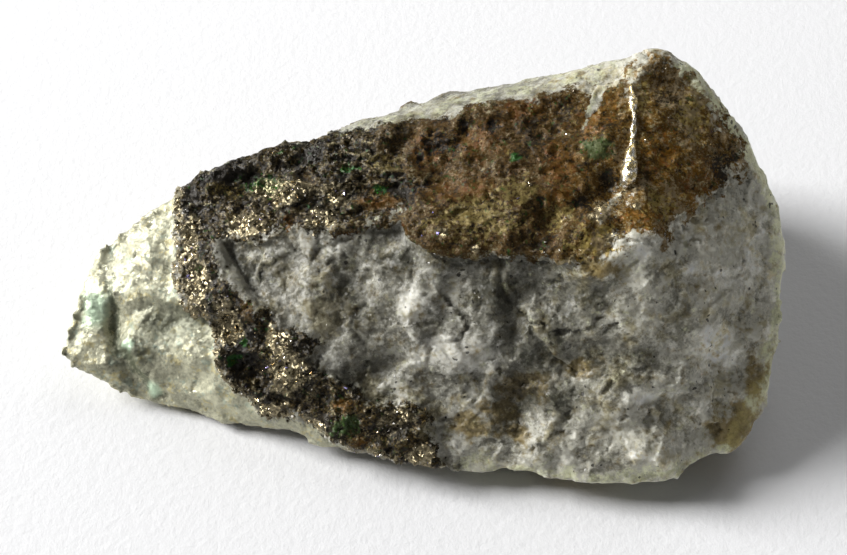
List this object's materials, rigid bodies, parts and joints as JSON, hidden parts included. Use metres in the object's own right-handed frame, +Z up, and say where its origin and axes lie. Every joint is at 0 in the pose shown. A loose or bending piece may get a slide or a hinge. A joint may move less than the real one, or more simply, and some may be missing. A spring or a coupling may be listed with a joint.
{
  "type": "mohawkite specimen",
  "caption": "Broken hand specimen of copper arsenide ore: a tarnished rusty ore seam over sugary grey quartz, tapering to a pale fresh break, with a flat resting face.",
  "frame": {"origin": "middle of the stone's box, at the level of its flat resting face", "axes": "+X from the narrow broken end to the thick end, the show face with the ore seam faces -Y and up, +Z up"},
  "size_m": [0.0418, 0.0254, 0.0168],
  "materials": {
    "ore_in_quartz": "rough broken rock: grey sugary quartz under a rusty brown and black ore seam, with a pale metallic fresh break at the narrow end",
    "bright_metal": "fresh copper arsenide, pale champagne to silver, in grains and one thin vein, bright where it is broken",
    "quartz_grains": "clear to milky quartz grains, glassy on their broken faces",
    "copper_green": "thin powdery green copper crust"
  },
  "bodies": {
    "root": {"mohawkite_stone": "ore_in_quartz"}
  },
  "joints": []
}
